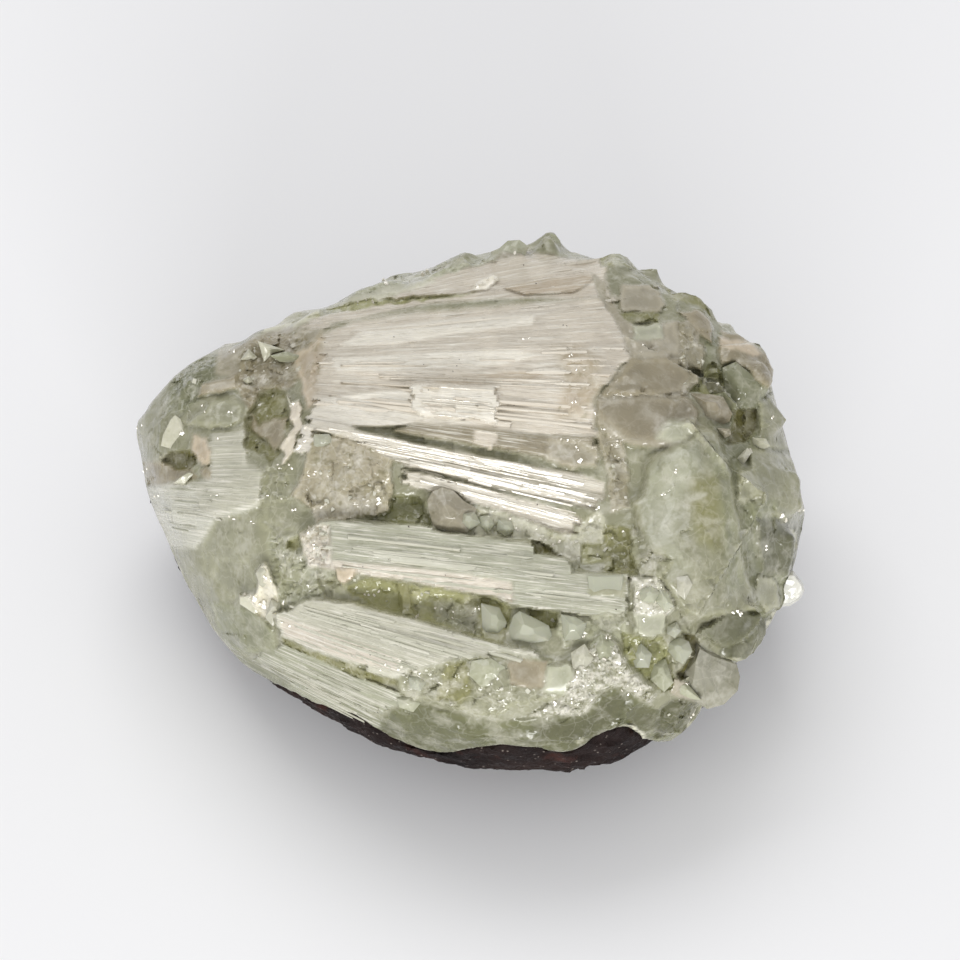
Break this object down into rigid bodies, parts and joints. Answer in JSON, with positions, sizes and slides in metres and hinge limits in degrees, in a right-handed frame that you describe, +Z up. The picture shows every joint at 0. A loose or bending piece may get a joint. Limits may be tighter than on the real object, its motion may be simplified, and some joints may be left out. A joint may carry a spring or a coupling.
{
  "type": "apophyllite specimen",
  "caption": "Broken mineral nodule: a fan of silky pink and pale green crystal blades among clear blocks, in a thin dark basalt skin, lying display face up.",
  "frame": {"origin": "on the table, under the middle of the specimen's bounding box", "axes": "+X along the specimen's length from its narrow nose to its broad end, +Y towards its hidden back, +Z up from its flat worn underside; the broken display face looks towards -Y and up"},
  "size_m": [0.0902, 0.078, 0.0463],
  "materials": {
    "green_crystal": "pale green crystal, cloudy to clear, vitreous",
    "pink_crystal": "pinkish white blades, silky to pearly",
    "clear_crystal": "clear, faintly green, vitreous",
    "basalt": "dark brown rock skin, dull with small glints"
  },
  "bodies": {
    "root": {"crystal_mass": "green_crystal", "basalt_skin": "basalt"}
  },
  "joints": []
}
